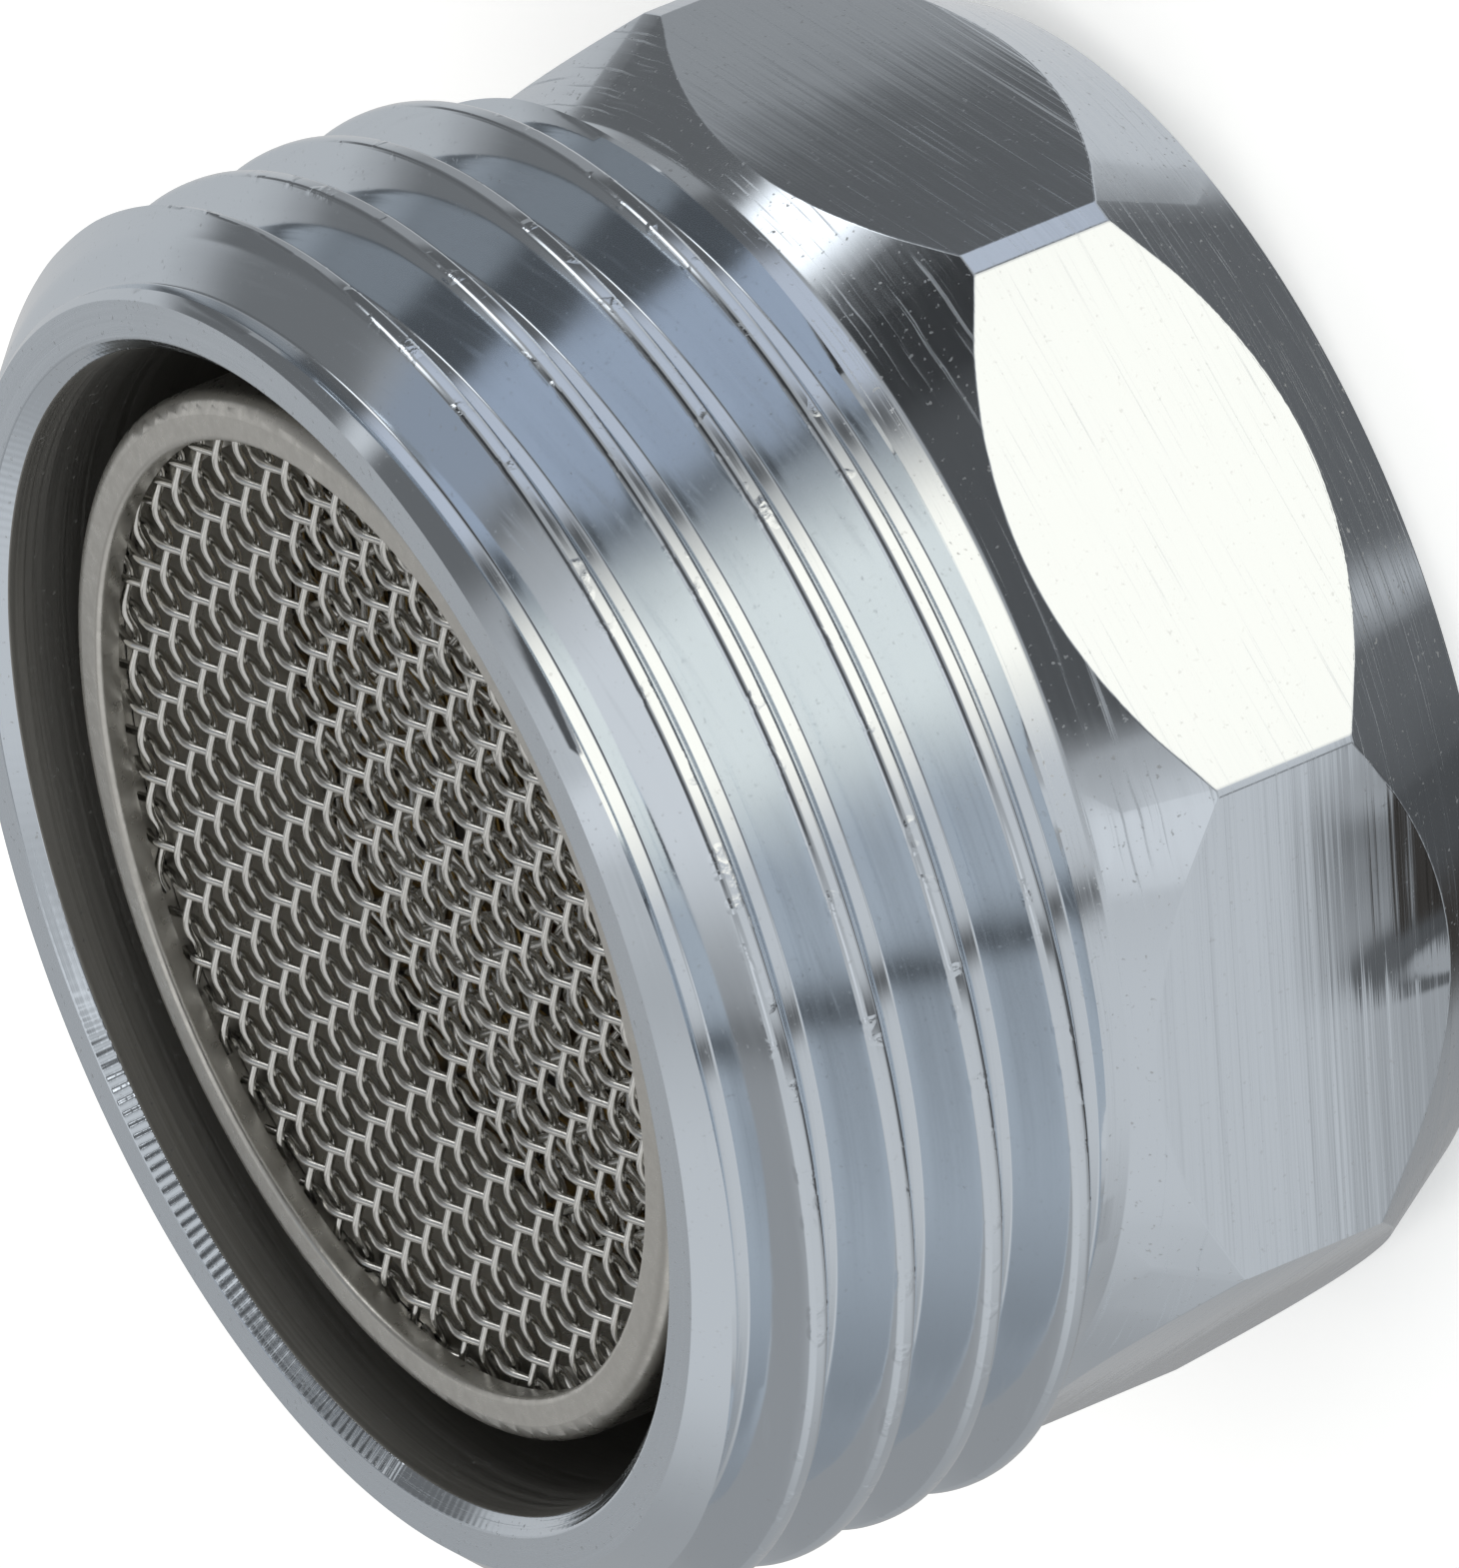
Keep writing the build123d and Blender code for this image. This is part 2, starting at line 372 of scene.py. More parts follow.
    def chatter(self, skin: Skin) -> NodeSocket:
        """Ripples that a shaking tool leaves across a chamfer, strong in some stretches and faint in others.

        Args:
            skin: Nodes of the material.

        Returns:
            Height of the ripples.
        """
        x, y, _ = skin.split(skin.place)
        count = round(tau * Housing.mouth_radius / self.chatter_pitch)
        shift = skin.math("MULTIPLY", skin.noise(self.wander_size), self.wander)
        phase = skin.math("MULTIPLY_ADD", skin.math("ARCTAN2", y, x), float(count), shift)
        patchy = skin.span(skin.noise(self.patch_size, 0.0), self.patch_span, (self.patch_least, 1.0))
        near = skin.span(skin.toward(self.chatter_heading), self.chatter_span, (self.chatter_least, 1.0))
        return skin.math("MULTIPLY", skin.math("SINE", phase), skin.math("MULTIPLY", patchy, near))

    def rolled_edge(self, skin: Skin) -> NodeSocket:
        """Fall of a flat towards its inlet side, where a polishing wheel rode over the edge.

        Args:
            skin: Nodes of the material.

        Returns:
            Height in metres, zero away from the edge.
        """
        height = skin.split(skin.place)[2]
        over = skin.math("MAXIMUM", skin.math("SUBTRACT", self.roll_height * MM, height), 0.0)
        worn = skin.span(
            skin.toward(self.worn_heading), self.worn_span, (1.0, self.worn_share),
            interpolation_type="SMOOTHERSTEP",
        )
        return skin.math("MULTIPLY", skin.fall(over, self.roll_radius), worn)

    def nicks(self, skin: Skin) -> NodeSocket:
        """Small dents that handling leaves along the thread's crests.

        Args:
            skin: Nodes of the material.

        Returns:
            Height of the dents, flat away from the crests.
        """
        crests = ((self.nicked_radius - self.nicked_depth) * MM, self.nicked_radius * MM)
        struck = skin.span(skin.noise(self.nick_patch), self.nick_span)
        worn = skin.math("MULTIPLY", skin.span(skin.radius, crests), struck)
        return skin.math("MULTIPLY", skin.noise(self.nick_size, 2.0), worn)


@dataclass(frozen=True)
class GrainedFinish:
    """Drawn, stamped, woven or moulded surface with a soft grain: a blurred sheen that varies in patches.

    The grain's size is in millimetres, and its slope is the rise over run of its bumps.
    """

    name: str
    colour: str
    stain: str
    roughness: float = 0.3
    grain_size: float = 0.25
    grain_slope: float = 0.02
    grain_detail: float = 4.0
    grain_roughness: float = 0.6
    grain_span: Span = (0.3, 0.7)
    brighter: float = 0.06
    duller: float = 0.08
    metallic: float = 1.0

    def material(self) -> Material:
        """Build the grained finish.

        Returns:
            Material with patches of stain and uneven gloss.
        """
        skin = Skin(self.name)
        grain = skin.noise(self.grain_size, self.grain_detail, self.grain_roughness)
        gloss = (self.roughness - self.brighter, self.roughness + self.duller)
        return skin.surface({
            "Base Color": skin.blend(grain, self.colour, self.stain),
            "Metallic": self.metallic,
            "Roughness": skin.span(grain, self.grain_span, gloss),
            "Normal": skin.relief([(grain, self.grain_slope * self.grain_size)]),
        })


class ShapeTree(Nodes):
    """A geometry node tree with named inputs, turned into a plain mesh once its inputs are set."""

    kinds = {int: "NodeSocketInt", float: "NodeSocketFloat", Material: "NodeSocketMaterial"}

    def __init__(self, name: str, values: dict[str, object]) -> None:
        """Open a tree with one geometry output.

        Args:
            name: Name of the tree.
            values: Its named inputs: whole numbers, sizes in metres, and a material called Finish.
        """
        super().__init__(bpy.data.node_groups.new(name, "GeometryNodeTree"))
        self.tree.interface.new_socket("Geometry", in_out="OUTPUT", socket_type="NodeSocketGeometry")
        self.entry = self.add("NodeGroupInput")
        self.values: dict[str, object] = {}
        for label, value in values.items():
            kind = self.kinds[type(value)]
            item = self.tree.interface.new_socket(label, in_out="INPUT", socket_type=kind)
            self.values[item.identifier] = value

    def __getitem__(self, name: str) -> NodeSocket:
        """Socket that carries a named input inside the tree."""
        return self.entry.outputs[name]

    def mesh(self, shape: Node) -> Mesh:
        """Close the tree, run it and keep its result.

        Args:
            shape: Node with the geometry that the tree has made.

        Returns:
            A plain mesh with the finish in its slot.
        """
        real = self.add("GeometryNodeRealizeInstances", {0: shape})
        smooth = self.add("GeometryNodeSetShadeSmooth", {"Geometry": real})
        dressed = self.add("GeometryNodeSetMaterial", {"Geometry": smooth, "Material": self["Finish"]})
        self.add("NodeGroupOutput", {0: dressed})
        carrier = stand(self.tree.name, bpy.data.meshes.new(self.tree.name))
        modifier = carrier.modifiers.new(self.tree.name, "NODES")
        modifier.node_group = self.tree
        for identifier, value in self.values.items():
            modifier[identifier] = value
        graph = bpy.context.evaluated_depsgraph_get()
        result = bpy.data.meshes.new_from_object(carrier.evaluated_get(graph))
        carrier.modifiers.clear()
        bpy.data.objects.remove(carrier)
        return result


@dataclass
class HelicalThread:
    """One screw thread, cut between two circles of a turned neck or bore. Sizes in millimetres."""

    name: str
    pitch: float
    crest_radius: float
    root_radius: float
    crest_width: float
    crest_round: float
    root_round: float
    flank_angle: float
    crest_at: float
    low: float
    high: float
    low_radius: float
    high_radius: float
    low_slope: float
    high_slope: float
    segments: int
    shares: tuple[int, ...] = (1, 5, 6, 4, 1)
    weld: float = 0.002

    def mesh(self, finish: Material) -> Mesh:
        """Sweep one pitch of the profile along the helix and trim it at both ends.

        Args:
            finish: Material for the thread.

        Returns:
            Thread skin that ends in a circle at each end.
        """
        side = 1.0 if self.crest_radius > self.root_radius else -1.0
        first = floor((self.low - self.crest_at) / self.pitch - 0.5) - 1
        last = ceil((self.high - self.crest_at) / self.pitch + 0.5) + 1
        bend = radians(90 - self.flank_angle / 2)
        rounds = self.crest_round + self.root_round
        fall = abs(self.crest_radius - self.root_radius) - rounds * (1 - cos(bend))
        run = fall / tan(bend)
        half_crest = self.crest_width / 2 - self.crest_round * tan(bend / 2)
        half_root = self.pitch / 2 - rounds * sin(bend) - run - half_crest
        shape = ShapeTree(self.name, {
            "Turns": float(last - first),
            "Steps Along": (last - first) * self.segments + 1,
            "Rows": 2 * sum(self.shares) + 1,
            "Pitch": self.pitch * MM,
            "Start Height": (self.crest_at + first * self.pitch) * MM,
            "Crest Radius": self.crest_radius * MM,
            "Half Crest Flat": half_crest * MM,
            "Crest Round": self.crest_round * MM,
            "Flank Run": run * MM,
            "Flank Fall": fall * MM,
            "Root Round": self.root_round * MM,
            "Half Root Flat": half_root * MM,
            "Low End": self.low * MM,
            "High End": self.high * MM,
            "Low Radius": side * self.low_radius * MM,
            "High Radius": side * self.high_radius * MM,
            "Low Slope": self.low_slope,
            "High Slope": self.high_slope,
            "Outside or Inside": side,
            "Finish": finish,
        })
        calc = shape.math
        strip = shape.add("GeometryNodeMeshGrid", {
            "Size X": 1.0, "Size Y": 1.0, "Vertices X": shape["Steps Along"], "Vertices Y": shape["Rows"],
        })
        along, aside, _ = shape.split(shape.add("GeometryNodeInputPosition"))
        turn = calc("MULTIPLY", calc("ADD", along, 0.5), shape["Turns"])
        angle = calc("MULTIPLY", turn, tau)
        row = calc("MULTIPLY", calc("ABSOLUTE", aside), 2.0)
        over_flat, over_crest, down_flank, into_root, over_root = self.steps(shape, row)
        bent_in = calc("MULTIPLY", over_crest, bend)
        bent_out = calc("MULTIPLY", calc("SUBTRACT", 1.0, into_root), bend)
        away = shape.total(
            (over_flat, shape["Half Crest Flat"]),
            (calc("SINE", bent_in), shape["Crest Round"]),
            (down_flank, shape["Flank Run"]),
            (calc("SUBTRACT", sin(bend), calc("SINE", bent_out)), shape["Root Round"]),
            (over_root, shape["Half Root Flat"]),
        )
        drop = shape.total(
            (calc("SUBTRACT", 1.0, calc("COSINE", bent_in)), shape["Crest Round"]),
            (down_flank, shape["Flank Fall"]),
            (calc("SUBTRACT", calc("COSINE", bent_out), cos(bend)), shape["Root Round"]),
        )
        low, high, sense = shape["Low End"], shape["High End"], shape["Outside or Inside"]
        middle = calc("MULTIPLY_ADD", turn, shape["Pitch"], shape["Start Height"])
        free = calc("ADD", middle, calc("MULTIPLY", calc("SIGN", aside), away))
        height = calc("MINIMUM", calc("MAXIMUM", free, low), high)
        profile = calc("SUBTRACT", calc("MULTIPLY", shape["Crest Radius"], sense), drop)
        above = calc("SUBTRACT", height, low)
        above = calc("MULTIPLY_ADD", above, shape["Low Slope"], shape["Low Radius"])
        below = calc("SUBTRACT", high, height)
        below = calc("MULTIPLY_ADD", below, shape["High Slope"], shape["High Radius"])
        radius = calc("MULTIPLY", calc("MINIMUM", calc("MINIMUM", profile, above), below), sense)
        x, y = (calc("MULTIPLY", radius, calc(share, angle)) for share in ("COSINE", "SINE"))
        place = {"Geometry": strip, "Position": shape.point(x, y, height)}
        bent = shape.add("GeometryNodeSetPosition", place)
        joint = {"Geometry": bent, "Distance": self.weld * MM}
        return shape.mesh(shape.add("GeometryNodeMergeByDistance", joint))

    def steps(self, shape: ShapeTree, row: NodeSocket) -> list[NodeSocket]:
        """How far crest, its round, flank, root round and root are done at a row, each from zero to one."""
        ends = [sum(self.shares[:i]) / sum(self.shares) for i in range(len(self.shares) + 1)]
        return [shape.span(row, stretch) for stretch in zip(ends, ends[1:])]


@dataclass
class Housing:
    """Turned and plated body: eight flats between two cones, both threads and the stepped bore.

    Lengths are in millimetres, angles in degrees.
    """

    across_flats: float = 24.8
    flats: int = 8
    off_axis: Span = (0.064, 0.049)
    corner_radius: float = 13.37
    band_start: float = 3.2
    band_end: float = 6.0
    inlet_cone: float = 30.5
    outlet_cone: float = 33.0
    thread_radius: float = 13.2205
    thread_root: float = 12.0585
    thread_end: float = 8.5
    face_radius: float = 11.92
    mouth_radius: float = 11.2
    mouth_chamfer: float = 0.28
    land_radius: float = 9.95
    land_start: float = 7.6
    land_end: float = 8.8
    undercut_radius: float = 11.05
    inlet_thread_end: float = 4.2
    inlet_mouth: float = 10.9085
    inlet_crest: float = 10.4585
    edge: float = 0.015
    wide_edge: float = 0.0375
    rim_gap: float = 0.045
    sharp_angle: float = 32.0
    least_corner: float = 0.06
    foot_round: float = 0.3
    foot_steps: int = 4
    weld: float = 0.004
    columns: int = 320
    length: float = field(init=False)

    def __post_init__(self) -> None:
        """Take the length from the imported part."""
        self.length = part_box("housing")[1][2] / MM

    @property
    def rim(self) -> float:
        """Radius of the inlet rim, where the inlet cone ends."""
        return self.corner_radius - self.band_start * tan(radians(self.inlet_cone))

    def even_angles(self) -> list[float]:
        """Angles of the columns on a plain circle, in radians."""
        return [tau * i / self.columns for i in range(self.columns)]

    def reach(self, flat: int) -> float:
        """Distance of a flat from the turning axis: the bar sat a little off it in the lathe.

        Args:
            flat: Number of the flat, counted round from +X.

        Returns:
            Distance in millimetres.
        """
        heading = tau * flat / self.flats
        x, y = self.off_axis
        return self.across_flats / 2 + x * cos(heading) + y * sin(heading)

    def flat_angles(self) -> list[float]:
        """Angles of the columns where they crowd round the corners of the flats.

        Returns:
            As many angles as a plain circle has, in radians.
        """
        angles = self.even_angles()
        step = tau / self.flats
        side = self.edge / self.corner_radius
        per_flat = self.columns // self.flats
        for flat in range(self.flats):
            start = step * flat + acos(self.reach(flat) / self.corner_radius)
            end = step * (flat + 1) - acos(self.reach(flat + 1) / self.corner_radius)
            middle = (start + end) / 2
            half = max((end - start) / 2, self.least_corner / self.corner_radius)
            away = [half - 3 * side, half - side, half + side, half + 3 * side]
            crowd = [middle - a for a in reversed(away)] + [middle] + [middle + a for a in away]
            first = per_flat * flat + per_flat // 2 - len(crowd) // 2
            angles[first:first + len(crowd)] = crowd
        return angles

    def girth(self, angle: float) -> float:
        """Radius of the eight-sided bar with its corners turned down.

        Args:
            angle: Angle round the axis, in radians.

        Returns:
            Radius in millimetres.
        """
        step = tau / self.flats
        flat = floor(angle / step)
        sides = [self.reach(side) / cos(angle - side * step) for side in (flat, flat + 1)]
        return min(self.corner_radius, *sides)

    def circle(self, radius: float, height: float) -> Ring:
        """Points in metres of a plain circle, from its radius and height in millimetres."""
        return [self.point(angle, radius, height) for angle in self.even_angles()]

    @staticmethod
    def point(angle: float, radius: float, height: float) -> Triple:
        """Point in metres at an angle, a radius and a height in millimetres."""
        return radius * MM * cos(angle), radius * MM * sin(angle), height * MM

    def column(self, girth: float, top: float) -> list[Span]:
        """Places down one column, over the outlet cone, the flat and the inlet cone.

        Args:
            girth: Radius of the bar at this column, in millimetres.
            top: Height where the outlet cone ends.

        Returns:
            Radius and height of each place, in millimetres.
        """
        lean_out, lean_in = radians(self.outlet_cone), radians(self.inlet_cone)
        near, far = self.edge, self.wide_edge
        upper = self.band_end + (self.corner_radius - girth) / tan(lean_out)
        lower = (girth - self.rim) / tan(lean_in)
        on_outlet = [upper + share * (top - upper) for share in (0.75, 0.5, 0.25)]
        on_outlet += [upper + gap * cos(lean_out) for gap in (far, near)]
        shares = ((1.0, near), (1.0, far), (0.75, far), (0.5, far), (0.25, far), (0.0, far), (0.0, near))
        on_flat = [lower + gap + share * (upper - lower - 2 * gap) for share, gap in shares]
        on_inlet = [lower - gap * cos(lean_in) for gap in (near, far)]
        on_inlet += [lower - share * (lower - self.rim_gap) for share in (0.25, 0.5, 0.75)]
        return (
            [(self.corner_radius - (height - self.band_end) * tan(lean_out), height) for height in on_outlet]
            + [(girth, height) for height in on_flat]
            + [(self.rim + height * tan(lean_in), height) for height in on_inlet]
        )

    def outside(self) -> list[Ring]:
        """Rings of the outer skin, from the end of the outlet thread down to the inlet mouth.

        Returns:
            Rings in order, each with one point per column.
        """
        lean, drop = radians(self.outlet_cone), tan(radians(self.inlet_cone))
        near, far = self.edge, self.wide_edge
        foot = self.band_end + (self.corner_radius - self.thread_root) / tan(lean)
        reach = self.foot_round * tan(lean / 2)
        rings = [self.circle(self.thread_root, self.thread_end)]
        for step in range(self.foot_steps + 1):
            bend = lean * step / self.foot_steps
            out, down = self.foot_round * (1 - cos(bend)), self.foot_round * sin(bend)
            rings.append(self.circle(self.thread_root + out, foot + reach - down))
        angles = self.flat_angles()
        columns = [self.column(self.girth(angle), foot - reach - near) for angle in angles]
        for places in zip(*columns):
            rings.append([self.point(angle, *place) for angle, place in zip(angles, places)])
        rims = (
            (self.rim + far * drop, far), (self.rim + near * drop, near), (self.rim - near, 0.0),
            (self.inlet_mouth + near, 0.0), (self.inlet_mouth, 0.0),
        )
        return rings + [self.circle(*rim) for rim in rims]

    def inside(self) -> list[Ring]:
        """Rings of the bore, from the undercut behind the inlet thread up and out to the outlet face.

        Returns:
            Rings in order, each with one point per column.
        """
        bore = self.mouth_radius - self.mouth_chamfer
        wall = self.length - self.mouth_chamfer
        corners = [
            (self.undercut_radius, self.inlet_thread_end), (self.undercut_radius, self.land_start),
            (self.land_radius, self.land_start), (self.land_radius, self.land_end),
            (bore, self.land_end), (bore, wall), (self.mouth_radius, self.length),
            (self.face_radius, self.length),
        ]
        stops = [corners[0]]
        near, far = self.edge, self.wide_edge
        for before, here, after in zip(corners, corners[1:], corners[2:]):
            for towards, gap in ((before, far), (before, near), (after, near), (after, far)):
                way = Vector(towards) - Vector(here)
                stops.append(tuple(Vector(here) + way.normalized() * gap))
        return [self.circle(*stop) for stop in stops + corners[-1:]]

    def zone(self, place: Vector) -> Zone:
        """How the surface at a place was machined.

        Args:
            place: Middle of a face of the skin, in metres.

        Returns:
            Its zone.
        """
        radius = hypot(place.x, place.y) / MM
        height = place.z / MM
        if radius < self.mouth_radius and height > self.inlet_thread_end:
            return Zone.CHATTERED if height > self.length - self.mouth_chamfer else Zone.BORED
        if height > self.thread_end:
            return Zone.FACED
        on_flat = abs(radius - self.girth(atan2(place.y, place.x))) < self.edge / 4
        return Zone.MILLED if on_flat else Zone.TURNED

    def outlet_thread(self) -> HelicalThread:
        """The pipe thread on the neck, bevelled by the cone and chamfered at the outlet face."""
        return HelicalThread(
            name="outlet_thread", pitch=1.814, crest_radius=self.thread_radius, root_radius=self.thread_root,
            crest_width=0.3, crest_round=0.18, root_round=0.08, flank_angle=55.0, crest_at=10.193,
            low=self.thread_end, high=self.length, low_radius=self.thread_root, high_radius=self.face_radius,
            low_slope=1.92, high_slope=1.0, segments=self.columns,
        )

    def inlet_thread(self) -> HelicalThread:
        """The fine thread in the inlet, chamfered at the rim."""
        return HelicalThread(
            name="inlet_thread", pitch=1.0, crest_radius=self.inlet_crest,
            root_radius=self.inlet_mouth - self.rim_gap,
            crest_width=0.12, crest_round=0.04, root_round=0.06, flank_angle=60.0, crest_at=0.5,
            low=0.0, high=self.inlet_thread_end, low_radius=self.inlet_mouth,
            high_radius=self.undercut_radius, low_slope=1.0, high_slope=1.7, segments=self.columns,
            shares=(1, 2, 1, 2, 1),
        )

    def build(self, finishes: dict[Zone, Material]) -> None:
        """Join the skins and threads into one closed piece, in place of the plain body.

        Args:
            finishes: Material of each machined zone.
        """
        body = bmesh.new()
        for rings in (self.outside(), self.inside()):
            for corners in quads([[body.verts.new(point) for point in ring] for ring in rings]):
                face = body.faces.new(corners)
                face.material_index = self.zone(face.calc_center_median()).value
        for thread in (self.outlet_thread(), self.inlet_thread()):
            before = len(body.faces)
            body.from_mesh(thread.mesh(finishes[Zone.THREADED]))
            body.faces.ensure_lookup_table()
            for face in body.faces[before:]:
                face.material_index = Zone.THREADED.value
        bmesh.ops.remove_doubles(body, verts=body.verts, dist=self.weld * MM)
        bmesh.ops.recalc_face_normals(body, faces=body.faces)
        for face in body.faces:
            face.smooth = True
        mesh = bpy.data.meshes.new("chromed_housing")
        body.to_mesh(mesh)
        mesh.set_sharp_from_angle(angle=radians(self.sharp_angle))
        open_edges = sum(len(edge.link_faces) != 2 for edge in body.edges)
        body.free()
        for zone in Zone:
            mesh.materials.append(finishes[zone])
        piece = stand("chromed_housing", mesh)
        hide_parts("housing")
        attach(piece, "root")
        log.info("chromed_housing: %d faces, %d open edges", len(mesh.polygons), open_edges)


@dataclass
class WovenScreen:
    """Plain-woven wire cloth, punched to a disc. Sizes in millimetres, its turn in degrees."""

    node: str
    turn: float
    sides: int = 10
    warp_pitch: float = 0.823
    weft_pitch: float = 0.684
    wire: float = 0.165
    crimp: float = 0.09
    steps: int = 8

    def family(self, shape: ShapeTree, spacing: NodeSocket, crossing: NodeSocket) -> Node:
        """Weave the parallel wires that run along X, each over and under the crossing ones.

        An even number of wires, turned by a quarter, takes the other place at every crossing.

        Args:
            shape: Tree that takes the wires.
            spacing: Distance between these wires.
            crossing: Distance between the wires that cross them.

        Returns:
            Node with the wires as curves, cut to the disc.
        """
        calc, half = shape.math, shape["Disc Radius"]
        ends = {"Start": shape.point(calc("MULTIPLY", half, -1.0)), "End": shape.point(half)}
        wire = shape.add("GeometryNodeCurvePrimitiveLine", ends)
        fine = shape.add("GeometryNodeResampleCurve", {"Curve": wire, "Count": shape["Points"]})
        gaps = calc("SUBTRACT", shape["Wires"], 1.0)
        side = calc("MULTIPLY", gaps, calc("MULTIPLY", spacing, -0.5))
        rows = shape.add("GeometryNodeMeshLine", {
            "Count": shape["Wires"], "Start Location": shape.point(y=side), "Offset": shape.point(y=spacing),
        })
        laid = shape.add("GeometryNodeInstanceOnPoints", {"Points": rows, "Instance": fine})
        wires = shape.add("GeometryNodeRealizeInstances", {0: laid})
        place = shape.add("GeometryNodeInputPosition")
        along, aside, _ = shape.split(place)
        row = calc("ROUND", calc("DIVIDE", calc("SUBTRACT", aside, side), spacing))
        crossed = calc("ADD", calc("DIVIDE", along, crossing), row)
        phase = calc("MULTIPLY", calc("ADD", crossed, 0.5), pi)
        lift = shape.point(z=calc("MULTIPLY", calc("COSINE", phase), shape["Crimp"]))
        crimped = shape.add("GeometryNodeSetPosition", {"Geometry": wires, "Offset": lift})
        reach = shape.vector("LENGTH", shape.vector("MULTIPLY", place, ACROSS_AXIS))
        cut = {"Geometry": crimped, "Selection": calc("GREATER_THAN", reach, half)}
        return shape.add("GeometryNodeDeleteGeometry", cut, domain="POINT")

    def build(self, finish: Material) -> None:
        """Weave both families of wires into the place of the plain disc.

        Args:
            finish: Material of the wire.
        """
        low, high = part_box(self.node)
        radius = (high[0] - low[0]) / 2
        finest = min(self.warp_pitch, self.weft_pitch) * MM
        shape = ShapeTree(f"woven_{self.node}", {
            "Wires": 2 * floor(radius / finest) + 2,
            "Points": round(2 * radius / finest * self.steps) + 1,
            "Crimp": self.crimp * MM,
            "Disc Radius": radius - self.wire / 2 * MM,
            "Wire Radius": self.wire / 2 * MM,
            "Sides": self.sides,
            "Height": (low[2] + high[2]) / 2,
            "Turn": radians(self.turn),
            "Warp Pitch": self.warp_pitch * MM,
            "Weft Pitch": self.weft_pitch * MM,
            "Finish": finish,
        })
        warp = self.family(shape, shape["Warp Pitch"], shape["Weft Pitch"])
        weft = shape.add("GeometryNodeTransform", {
            "Geometry": self.family(shape, shape["Weft Pitch"], shape["Warp Pitch"]),
            "Rotation": (0.0, 0.0, pi / 2),
        })
        cloth = shape.add("GeometryNodeJoinGeometry")
        for wires in (warp, weft):
            shape.tree.links.new(wires.outputs[0], cloth.inputs[0])
        circle = {"Resolution": shape["Sides"], "Radius": shape["Wire Radius"]}
        section = shape.add("GeometryNodeCurvePrimitiveCircle", circle)
        sweep = {"Curve": cloth, "Profile Curve": section, "Fill Caps": True}
        mesh = shape.mesh(shape.add("GeometryNodeTransform", {
            "Geometry": shape.add("GeometryNodeCurveToMesh", sweep),
            "Translation": shape.point(z=shape["Height"]),
            "Rotation": shape.point(z=shape["Turn"]),
        }))
        piece = stand(f"woven_{self.node}", mesh)
        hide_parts(self.node)
        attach(piece, "root")
        log.info("woven_%s: %d faces", self.node, len(mesh.polygons))


@dataclass
class Insert:
    """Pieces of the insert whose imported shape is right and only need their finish."""

    finishes: dict[str, Material]

    def dress(self) -> None:
        """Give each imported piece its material."""
        for node, material in self.finishes.items():
            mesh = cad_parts[node].data
            mesh.materials.clear()
            mesh.materials.append(material)
            log.info("%s: %s", node, material.name)


@dataclass(frozen=True)
class Panel:
    """One card of the light tent, hung where a surface that faces this way mirrors it to the camera.

    All angles and widths are in degrees, and a level of one is white paper.
    """

    name: str
    facing: float
    tilt: float
    width: float
    height: float
    level: float
    soft: float = 6.0
    tilt_soft: float = 6.0
    tint: str = "#ffffff"

    def cover(self, facing: float, tilt: float) -> float:
        """How far this card covers what a surface mirrors.

        Args:
            facing: Which way the surface faces round the axis.
            tilt: How far it faces up, or down if negative.

        Returns:
            Zero outside the card, one inside, between them across its soft edge.
        """
        across = abs((facing - self.facing + 180) % 360 - 180) - self.width / 2
        along = abs(tilt - self.tilt) - self.height / 2
        share = 1.0
        for past, soft in ((across, self.soft), (along, self.tilt_soft)):
            t = min(max(0.5 - past / soft, 0.0), 1.0)
            share *= t * t * (3 - 2 * t)
        return share


